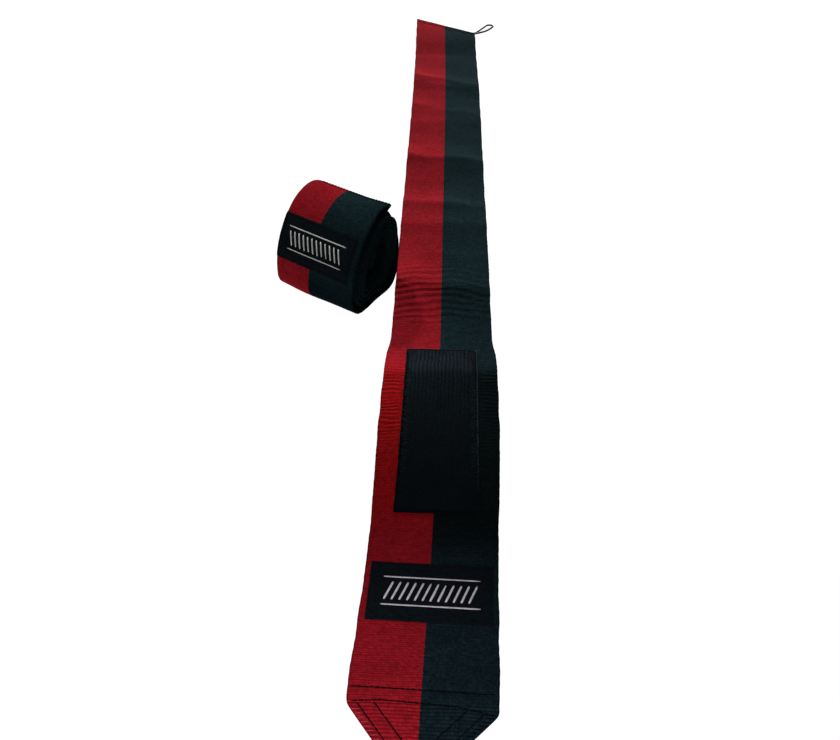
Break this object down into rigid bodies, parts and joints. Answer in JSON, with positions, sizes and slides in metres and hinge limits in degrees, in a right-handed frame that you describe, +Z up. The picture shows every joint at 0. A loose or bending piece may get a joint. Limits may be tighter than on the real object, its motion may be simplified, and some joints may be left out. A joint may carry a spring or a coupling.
{
  "type": "hand wrap",
  "caption": "Elastic hand wrap with a thumb loop and a hook-and-loop tip, laid flat beside its rolled-up twin.",
  "frame": {"origin": "centre of the underside of the flat wrap's middle section, on the surface it lies on", "axes": "+Y along the flat band from the closing tip to the thumb loop, +X across it from the red edge to the black edge, +Z up"},
  "size_m": [0.1937, 0.9255, 0.0739],
  "materials": {
    "webbing": "ribbed woven elastic, one half red and one half black",
    "loop_tape": "black looped pile in rows",
    "hook_tape": "black nylon hooks on a woven base",
    "label_satin": "black satin weave with pale thread",
    "thread": "dark polyester sewing thread",
    "elastic_cord": "black braided elastic cord"
  },
  "bodies": {
    "middle_section": {"middle_band": "webbing"},
    "patch_section": {"patch_band": "webbing", "loop_patch": "loop_tape", "loop_patch_stitching": "thread"},
    "closure_end": {"closure_band": "webbing", "label": "label_satin", "label_stitching": "thread", "hook_patch": "hook_tape", "tip_stitching": "thread"},
    "far_section": {"far_band": "webbing"},
    "end_section": {"end_band": "webbing", "end_hem": "webbing", "hem_stitching": "thread", "loop_bar_tack": "thread"},
    "thumb_loop": {"thumb_loop": "elastic_cord"},
    "rolled_wrap": {"rolled_band": "webbing", "rolled_loop_patch": "loop_tape", "rolled_loop_patch_stitching": "thread", "rolled_label": "label_satin", "rolled_label_stitching": "thread", "rolled_hem": "webbing", "rolled_hem_stitching": "thread", "rolled_bar_tack": "thread", "rolled_thumb_loop": "elastic_cord"},
    "rolled_flap": {"rolled_tip_band": "webbing", "rolled_hook_patch": "hook_tape", "rolled_tip_stitching": "thread"}
  },
  "joints": [
    {"name": "closure_fold", "type": "hinge", "parent": "patch_section", "child": "closure_end", "pos_m": [0, -0.272, 0.002], "axis": [-1, 0, 0], "range_deg": [0, 165]},
    {"name": "patch_fold", "type": "hinge", "parent": "middle_section", "child": "patch_section", "pos_m": [0, -0.1, 0.002], "axis": [-1, 0, 0], "range_deg": [0, 90]},
    {"name": "far_fold", "type": "hinge", "parent": "middle_section", "child": "far_section", "pos_m": [0, 0.1, 0.002], "axis": [1, 0, 0], "range_deg": [0, 90]},
    {"name": "end_fold", "type": "hinge", "parent": "far_section", "child": "end_section", "pos_m": [0, 0.31, 0.002], "axis": [1, 0, 0], "range_deg": [0, 90]},
    {"name": "thumb_loop_swing", "type": "hinge", "parent": "end_section", "child": "thumb_loop", "pos_m": [0.0365, 0.4819, 0.0019], "axis": [0.8505, -0.526, 0], "range_deg": [0, 100]},
    {"name": "rolled_wrap_slide", "type": "slide", "parent": "middle_section", "child": "rolled_wrap", "axis": [-1, 0, 0], "range_m": [0, 0.15]},
    {"name": "rolled_flap_peel", "type": "hinge", "parent": "rolled_wrap", "child": "rolled_flap", "pos_m": [-0.07203, -0.02044, 0.07378], "axis": [0.8599, -0.5105, 0], "range_deg": [0, 100]}
  ]
}
